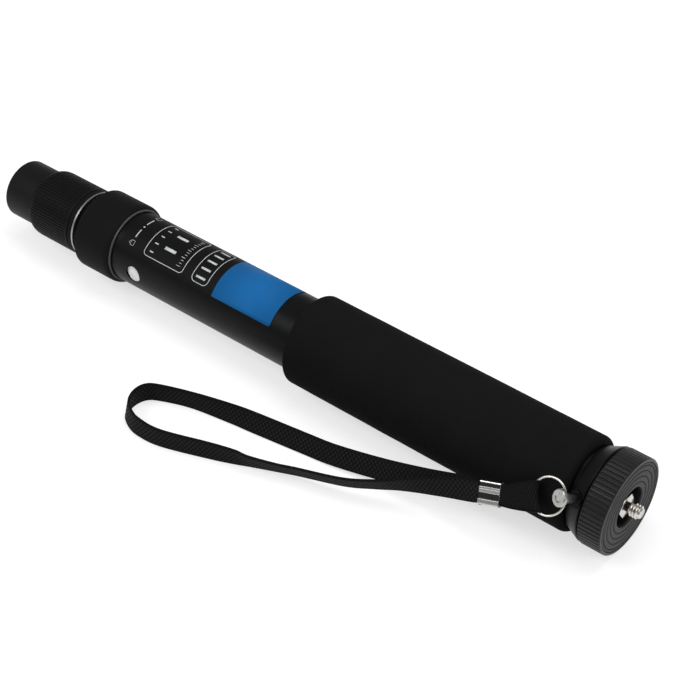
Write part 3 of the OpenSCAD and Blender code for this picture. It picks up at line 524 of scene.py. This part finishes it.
turns, steps_per_turn = 3.1, 48
root_sink, crest_half, crest_round = 0.05, 0.155, 0.06
thread_rib = [(0.0, core_r - root_sink), (pitch / 2 - crest_half, thread_r - crest_round),
              (pitch / 2, thread_r), (pitch / 2 + crest_half, thread_r - crest_round),
              (pitch, core_r - root_sink)]
rib_points = [screw.verts.new(((thread_from + x) * mm, 0.0, (axis_z + r) * mm)) for x, r in thread_rib]
rib_edges = [screw.edges.new((a, b)) for a, b in zip(rib_points, rib_points[1:])]
bmesh.ops.spin(screw, geom=[*rib_points, *rib_edges], cent=(0.0, 0.0, axis_z * mm), axis=(1.0, 0.0, 0.0),
               dvec=(pitch / steps_per_turn * mm, 0.0, 0.0), angle=2 * math.pi * turns,
               steps=int(steps_per_turn * turns))
thread_end, run_out, end_r, cone_r = screw_tip - 0.1, 0.8, 2.25, 2.4
for v in screw.verts:
    r = off_axis(v.co)
    left = thread_end * mm - v.co.x
    if v.co.x > thread_from * mm and left < run_out * mm and r > end_r * mm:
        keep = max(end_r * mm, min(r, cone_r * mm + max(0.0, left))) / r
        v.co.y *= keep
        v.co.z = axis_z * mm + (v.co.z - axis_z * mm) * keep
        v.co.x = min(v.co.x, thread_end * mm)
bmesh.ops.recalc_face_normals(screw, faces=screw.faces)
nickel = bright_metal("nickel_plated_screw", low=(0.58, 0.55, 0.50), high=(0.72, 0.69, 0.64),
                      roughness=(0.14, 0.24), relief=0.0006 * mm)
camera_screw = piece_of(screw, "threaded_camera_screw", nickel, body="grip_section", nodes=["camera_screw"])
# The thread relief takes the dark material as painted shade.
second_finish(camera_screw, blackened_and_painted_dark, lambda c: off_axis(c) < (neck_r + 0.05) * mm
              and (flange_face + 0.1) * mm < c.x < thread_from * mm)


# Lower twist lock: a ribbed rubber sleeve, moulded with a rounded lip that hangs over the foot,
# on a moulded collar whose bare flange shows above it. A bright trim ring on the middle tube
# marks where the collar ends.
dress(rubber, "lower_lock_collar")
satin = bright_metal("satin_trim_ring", low=(0.30, 0.30, 0.30), high=(0.38, 0.38, 0.38),
                     roughness=(0.3, 0.42), relief=0.0006 * mm, stretch=(6.0, 0.4, 0.4))
dress(satin, "trim_ring")
low_from, low_to, low_r, low_bore, low_ribs = -161.825, -136.925, 17.25, 16.45, 72
lip_from, lip_bore, lip_round = low_from - 2.6, 15.05, 4.6
lip_face_r, lip_seat = lip_bore + 0.2, low_from - 0.02
low_edge, plain_l = 0.3, 1.1
channel_to, channel_r, channel_edge, channel_depth = low_to - 1.0, lip_bore + 0.85, 0.16, 0.5
low_sleeve = turned([(lip_seat, low_bore), (lip_seat, lip_bore), (lip_from, lip_bore)]
                    + arc(lip_from + lip_round, lip_face_r, lip_round, low_r - lip_face_r, 180, 90, 6)
                    + [(low_to - plain_l, low_r), (low_to - low_edge, low_r), (low_to, low_r - low_edge),
                       (low_to, low_bore)], low_ribs * 2)
channels = rib_gaps(low_sleeve, lip_from, channel_to, channel_r, low_ribs)
bmesh.ops.inset_region(low_sleeve, faces=channels, thickness=channel_edge * mm, depth=-channel_depth * mm,
                       use_even_offset=True)
rib_rubber = grained("ribbed_rubber", low=(0.0050, 0.0050, 0.0052), high=(0.0076, 0.0076, 0.0078),
                     grain=0.3 * mm, roughness=(0.4, 0.52), gloss=0.1, relief=0.01 * mm, patch=18 * mm)
lower_sleeve = piece_of(low_sleeve, "ribbed_lower_sleeve", rib_rubber, body="lower_lock",
                        nodes=["lower_collar_sleeve"])
soft_edges(lower_sleeve, 0.08 * mm)


# Rubber foot: a moulded rubber cap pushed over a plastic plug on the end of the lower tube.
# Its outer edge is rounded, and a ring groove in its flat end gives it some tread.
foot_from, foot_to, foot_r, foot_bore, foot_floor = -182.825, -162.125, 14.8, 12.35, 2.95
foot_edge, mouth_edge, tread_r, tread_depth = 1.1, 0.25, 7.4, 0.8
foot = turned([(foot_from, 0.0), (foot_from, tread_r - tread_depth), (foot_from + tread_depth, tread_r),
               (foot_from, tread_r + tread_depth)]
              + arc(foot_from + foot_edge, foot_r - foot_edge, foot_edge, foot_edge, 180, 90)
              + [(foot_to - mouth_edge, foot_r), (foot_to, foot_r - mouth_edge), (foot_to, foot_bore),
                 (foot_from + foot_floor, foot_bore), (foot_from + foot_floor, 0.0)])
foot_rubber = grained("foot_rubber", low=(0.0042, 0.0042, 0.0044), high=(0.0064, 0.0064, 0.0066),
                      grain=0.3 * mm, roughness=(0.46, 0.58), gloss=0.14, relief=0.012 * mm, patch=14 * mm)
foot_cap = piece_of(foot, "rubber_foot_cap", foot_rubber, body="lower_section", nodes=["rubber_foot"])
soft_edges(foot_cap, 0.1 * mm)


# Wrist strap: a flat braid of black yarn, 10 mm wide and 362 mm from clip to clip.
# It lies on the floor in a loop, on its edge, and its ends rise to the clip that holds them.
# Each point of its route is a place in mm and a lean out of the upright in degrees.
clip_at, clip_l, layer = Vector((128.0, -30.0, 23.0)), 9.8, 0.8
along = Vector((0.916939, 0.212452, 0.337768))
across = Vector((-0.397156, 0.567796, 0.721023))
outward = Vector((-0.0386009, -0.795281, 0.605011))
end_lean = 40.0
route = [(114, -29.5, 17.8, 32), (95, -32.2, 12.7, 28), (74, -35, 7.8, 32), (51, -39, 5.2, 29),
         (35, -41.2, 4.7, 28), (10, -45, 4.8, 26), (-2, -47.3, 5.1, 16), (-22, -52, 5.2, 0),
         (-37, -57.6, 5.2, 0), (-42.2, -61.4, 5.2, 0), (-43.5, -67.3, 5.2, -4), (-41.3, -74, 5.2, -11),
         (-35.4, -78.4, 5.2, -10), (-28, -80.3, 5.2, -7), (-15.6, -79.3, 5.2, -2), (6.5, -71.6, 5.2, 0),
         (18, -67.5, 5.2, 8), (24.5, -65.5, 5.1, 20), (36, -61, 5, 27), (45.5, -57.5, 5.5, 28),
         (66, -51.5, 7.6, 28), (79, -46, 10, 26), (89, -41, 12.4, 17), (101, -36.5, 15.6, 0),
         (113, -33, 19, -22)]
ends = [clip_at - clip_l / 2 * along - layer * outward, clip_at - clip_l / 2 * along + layer * outward]
knots = [Vector((*ends[0], end_lean)), *[Vector(p) for p in route], Vector((*ends[1], -end_lean))]


def between(a, b, c, d, s):
    """A smooth line through four neighbouring points, at share s of the way from b to c."""
    bend = 2 * a - 5 * b + 4 * c - d
    return b + s / 2 * (c - a) + s * s / 2 * bend + s ** 3 / 2 * (3 * b - a - 3 * c + d)


def knot(i):
    """A point of the route. Past either end it is that end's own point."""
    return knots[max(0, min(len(knots) - 1, i))]


parts_per_knot = 24
fine_line = [between(knot(i - 1), knot(i), knot(i + 1), knot(i + 2), k / parts_per_knot)
             for i in range(len(knots) - 1) for k in range(parts_per_knot)] + [knots[-1]]
run = [0.0]
for a, b in zip(fine_line, fine_line[1:]):
    run.append(run[-1] + (b.xyz - a.xyz).length)
weave_step, weave_p, weave_q = 0.3, 2.1, 2.652
stations, at = [], 0
steps = int(run[-1] / weave_step)
for k in range(steps + 1):
    want = run[-1] * k / steps
    while at < len(run) - 2 and run[at + 1] < want:
        at += 1
    share = (want - run[at]) / max(1e-9, run[at + 1] - run[at])
    stations.append(fine_line[at].lerp(fine_line[at + 1], share))

tape_w, tape_t, flat_w, edge_w, edge_h, cells = 10.0, 1.2, 9.284, 9.8, 0.42, 14
tape_top = [(-flat_w / 2 + flat_w * k / cells, tape_t / 2) for k in range(cells + 1)]
tape_side = [(edge_w / 2, edge_h), (tape_w / 2, 0.0), (edge_w / 2, -edge_h)]
tape_line = (tape_top + tape_side + [(w, -h) for w, h in reversed(tape_top)]
             + [(-w, -h) for w, h in tape_side])


def woven(name, count, place, material, nodes, tight=1.0):
    """A strap from a flat sheet of cells: place gives the point for a station, a width and a height in mm.
    Where the braid is pulled tight, its knots lie closer together."""
    sheet = bmesh.new()
    uv = sheet.loops.layers.uv.new("weave")
    around = len(tape_line)
    bmesh.ops.create_grid(sheet, x_segments=count, y_segments=around, size=0.5)
    cell_of = {v: (round((v.co.x + 0.5) * count), round((v.co.y + 0.5) * around)) for v in sheet.verts}
    for f in sheet.faces:
        for loop in f.loops:
            i, j = cell_of[loop.vert]
            loop[uv].uv = (i * weave_step * tight, tape_line[j % around][0])
    plain_edge, hollow, swell = 4.2, 0.9, 0.16
    for v, (i, j) in cell_of.items():
        w, h = tape_line[j % around]
        if abs(h) == tape_t / 2 and abs(w) < plain_edge:
            beat = 2 * math.pi * i * weave_step * tight / weave_p
            knit = abs(math.cos(beat) + math.cos(2 * math.pi * w / weave_q)) / 2
            h *= hollow + swell * knit
        v.co = place(i, w, h) * mm
    bmesh.ops.remove_doubles(sheet, verts=sheet.verts, dist=1e-7)
    bmesh.ops.holes_fill(sheet, edges=[e for e in sheet.edges if e.is_boundary], sides=0)
    bmesh.ops.recalc_face_normals(sheet, faces=sheet.faces)
    return piece_of(sheet, name, material, body="wrist_strap", nodes=nodes)


def braid_material(name, low, high):
    """Dull yarn with painted shade in the gaps of the weave and a painted highlight where its yarn crosses,
    with a plain selvedge on both edges.
    """
    made = bpy.data.materials.new(name)
    made.use_nodes = True
    tree = made.node_tree
    skin = tree.nodes["Principled BSDF"]
    skin.inputs["Specular IOR Level"].default_value = 0.05
    where = shader_node(tree, "ShaderNodeUVMap", uv_map="weave")
    split = shader_node(tree, "ShaderNodeSeparateXYZ")
    tree.links.new(where.outputs["UV"], split.inputs[0])
    waves = []
    for side, period in (("X", weave_p), ("Y", weave_q)):
        phase = shader_node(tree, "ShaderNodeMath", {1: 2 * math.pi / period}, operation="MULTIPLY")
        wave = shader_node(tree, "ShaderNodeMath", operation="COSINE")
        tree.links.new(split.outputs[side], phase.inputs[0])
        tree.links.new(phase.outputs[0], wave.inputs[0])
        waves.append(wave)
    total = shader_node(tree, "ShaderNodeMath", operation="ADD")
    knit = shader_node(tree, "ShaderNodeMath", operation="ABSOLUTE")
    yarn = shader_node(tree, "ShaderNodeTexNoise", {"Scale": 3.0, "Detail": 3.0, "Roughness": 0.6})
    blend = shader_node(tree, "ShaderNodeMath", operation="MULTIPLY_ADD")
    off_middle = shader_node(tree, "ShaderNodeMath", operation="ABSOLUTE")
    selvedge = shader_node(tree, "ShaderNodeMapRange", {"From Min": 3.7, "From Max": 4.3,
                                                        "To Min": 0.3, "To Max": 0.1})
    # The ramp paints shade in the weave's gaps and a highlight on its crossings.
    ramp = shader_node(tree, "ShaderNodeValToRGB")
    shaded_gap_stop, highlit_yarn_stop = ramp.color_ramp.elements
    shaded_gap_stop.position, highlit_yarn_stop.position = 0.58, 0.98
    shaded_gap_stop.color = (low, low, low * 1.03, 1.0)
    highlit_yarn_stop.color = (high, high, high * 1.03, 1.0)
    rough = shader_node(tree, "ShaderNodeMapRange", {"To Min": 0.8, "To Max": 0.6})
    bump = shader_node(tree, "ShaderNodeBump", {"Strength": 0.6, "Distance": 0.05 * mm})
    tree.links.new(waves[0].outputs[0], total.inputs[0])
    tree.links.new(waves[1].outputs[0], total.inputs[1])
    tree.links.new(total.outputs[0], knit.inputs[0])
    tree.links.new(where.outputs["UV"], yarn.inputs["Vector"])
    tree.links.new(knit.outputs[0], blend.inputs[0])
    tree.links.new(split.outputs["Y"], off_middle.inputs[0])
    tree.links.new(off_middle.outputs[0], selvedge.inputs["Value"])
    tree.links.new(selvedge.outputs["Result"], blend.inputs[1])
    tree.links.new(yarn.outputs["Fac"], blend.inputs[2])
    tree.links.new(blend.outputs[0], ramp.inputs["Fac"])
    tree.links.new(ramp.outputs["Color"], skin.inputs["Base Color"])
    tree.links.new(knit.outputs[0], rough.inputs["Value"])
    tree.links.new(rough.outputs["Result"], skin.inputs["Roughness"])
    tree.links.new(blend.outputs[0], bump.inputs["Height"])
    tree.links.new(bump.outputs["Normal"], skin.inputs["Normal"])
    return made


taper_l, taper = 12.0, 0.15


def loop_point(i, w, h):
    """A point of the strap's loop, which narrows a little where it goes into the clip."""
    if i == 0:
        way = -along
    elif i == steps:
        way = along
    else:
        way = (stations[i + 1].xyz - stations[i - 1].xyz).normalized()
    up = (Vector((0.0, 0.0, 1.0)) - way.z * way).normalized()
    lean = math.radians(stations[i].w)
    side = math.cos(lean) * up + math.sin(lean) * way.cross(up)
    into_clip = max(0.0, 1.0 - min(i, steps - i) * weave_step / taper_l)
    return stations[i].xyz + w * (1.0 - taper * into_clip ** 2) * side + h * way.cross(side)


braid = braid_material("black_flat_braid", low=0.0062, high=0.0230)
strap = woven("braided_wrist_strap", steps, loop_point, braid, nodes=["strap_loop"])


# Strap ring: bright plated wire bent to a ring of 17 mm, through the stud's cross hole.
# The strap's tab goes round its other side.
reach, ring_r, ring_wire, ring_shift = 18.4208, 8.0, 0.5, 0.4
ring_at = clip_at + (reach + ring_r) * along + ring_shift * across
wire = bmesh.new()
wire_place = Matrix.Translation((ring_r * mm, 0.0, 0.0))
bmesh.ops.create_circle(wire, cap_ends=False, segments=16, radius=ring_wire * mm,
                        matrix=wire_place @ Matrix.Rotation(math.radians(90), 4, "X"))
bmesh.ops.spin(wire, geom=[*wire.verts, *wire.edges], cent=(0.0, 0.0, 0.0), axis=(0.0, 0.0, 1.0),
               angle=2 * math.pi, steps=96, use_merge=True)
bmesh.ops.remove_doubles(wire, verts=wire.verts, dist=1e-7)
ring_turn = Matrix((along, across, outward)).transposed().to_4x4()
bmesh.ops.transform(wire, matrix=Matrix.Translation(ring_at * mm) @ ring_turn, verts=wire.verts)
bmesh.ops.recalc_face_normals(wire, faces=wire.faces)
wire_ring = piece_of(wire, "strap_wire_ring", nickel, body="wrist_strap", nodes=["strap_ring"])


# Strap tab: a short length of the same braid, pulled tight and folded round the wire ring.
# Both its ends lie in the clip, and it spreads and bows towards the ring.
eye_r = ring_wire + 0.4 + tape_t / 2
clip_end, tab_neck, tab_throat = clip_l / 2, clip_l / 2 + 3.0, reach - 2.0
neck_rise, throat_rise = 0.15, 0.05
front_fold = [(-clip_end, -layer), (clip_end, -layer), (tab_neck, -layer - neck_rise),
              (tab_throat, -eye_r - throat_rise)]
fold = (front_fold + arc(reach, 0.0, eye_r, eye_r, -90, 90, 12)
        + [(a, -b) for a, b in reversed(front_fold)])
fold_run = [0.0]
for a, b in zip(fold, fold[1:]):
    fold_run.append(fold_run[-1] + math.hypot(b[0] - a[0], b[1] - a[1]))
tab_steps = int(fold_run[-1] / weave_step)


def fold_place(want):
    """The place on the fold that is so far from its first end."""
    k = max(i for i in range(len(fold_run) - 1) if fold_run[i] <= want + 1e-9)
    share = (want - fold_run[k]) / (fold_run[k + 1] - fold_run[k])
    return Vector(fold[k]).lerp(Vector(fold[k + 1]), share)


upper_pinch, lower_pinch, ring_spread = 0.84, 0.98, 1.33
bow, bow_lean, bow_curve = 1.2, 0.13, 0.035


def tab_point(i, w, h):
    """A point of the folded tab. Its lower half widens sooner than its upper half."""
    want = fold_run[-1] * i / tab_steps
    here = fold_place(want)
    ahead = fold_place(min(fold_run[-1], want + 0.4)) - fold_place(max(0.0, want - 0.4))
    ahead.normalize()
    share = max(0.0, min(1.0, (here.x - clip_end) / (reach - clip_end)))
    spread = share * share * (3 - 2 * share)
    flare = spread if w > 0 else 1 - (1 - share) ** 2
    pinch = upper_pinch if w > 0 else lower_pinch
    wide = w * (pinch * (1 - flare) + ring_spread * flare)
    bowed = (bow - bow_lean * wide + bow_curve * wide ** 2) * spread
    a = here.x - h * ahead.y + bowed
    b = here.y + h * ahead.x
    return clip_at + a * along - b * outward + wide * across


tab_braid = braid_material("black_tight_braid", low=0.0050, high=0.0135)
tab = woven("folded_strap_tab", tab_steps, tab_point, tab_braid, nodes=["strap_tab"], tight=2.0)


# Strap clip: a strip of plated sheet folded round the ends of the strap and of its tab, and pressed flat.
# The channels pressed into its two sides are painted dark as a painted reflection of the dark strap and grip,
# and it sits a little askew on the strap.
channel_h, clip_askew = 1.55, -6.0
clip_half = [(-5.25, 0.0), (-5.2, 1.1), (-4.85, 1.75), (-4.2, 1.95), (-2.8, 1.95), (-2.5, channel_h),
             (0.0, channel_h), (0.2, 1.8), (1.4, 1.8), (1.6, 1.95), (2.5, 1.95), (2.7, channel_h),
             (4.2, channel_h), (4.4, 1.85), (4.85, 1.75), (5.2, 1.1)]
clip_line = clip_half + [(-w, -h) for w, h in clip_half]
clip = bmesh.new()
clip_rim = [clip.verts.new((w * mm, h * mm, -clip_l / 2 * mm)) for w, h in clip_line]
clip_edges = [clip.edges.new((a, b)) for a, b in zip(clip_rim, clip_rim[1:] + clip_rim[:1])]
clip_side = bmesh.ops.extrude_edge_only(clip, edges=clip_edges)
bmesh.ops.translate(clip, vec=(0.0, 0.0, clip_l * mm), verts=new_verts(clip_side))
clip_turn = (Matrix.Rotation(math.radians(clip_askew), 4, outward)
             @ Matrix((across, outward, along)).transposed().to_4x4())
bmesh.ops.transform(clip, matrix=Matrix.Translation(clip_at * mm) @ clip_turn, verts=clip.verts)
bmesh.ops.holes_fill(clip, edges=[e for e in clip.edges if e.is_boundary], sides=0)
bmesh.ops.recalc_face_normals(clip, faces=clip.faces)
# Faces on the channel floors take the dark material as a painted reflection of the dark strap and grip.
clip_plain, clip_painted_reflection, clip_cut = 0, 1, 2
for f in clip.faces:
    face_h = abs((f.calc_center_median() - clip_at * mm).dot(outward))
    if len(f.verts) > 4:
        f.material_index = clip_cut
    else:
        f.material_index = clip_painted_reflection if abs(face_h - channel_h * mm) < 0.02 * mm else clip_plain
clip_piece = piece_of(clip, "folded_strap_clip", plated, body="wrist_strap", nodes=["strap_crimp"])
clip_piece.data.materials.append(blackened_and_painted_dark)
clip_piece.data.materials.append(pressed)
soft_edges(clip_piece, 0.12 * mm, segments=2, angle=20.0)
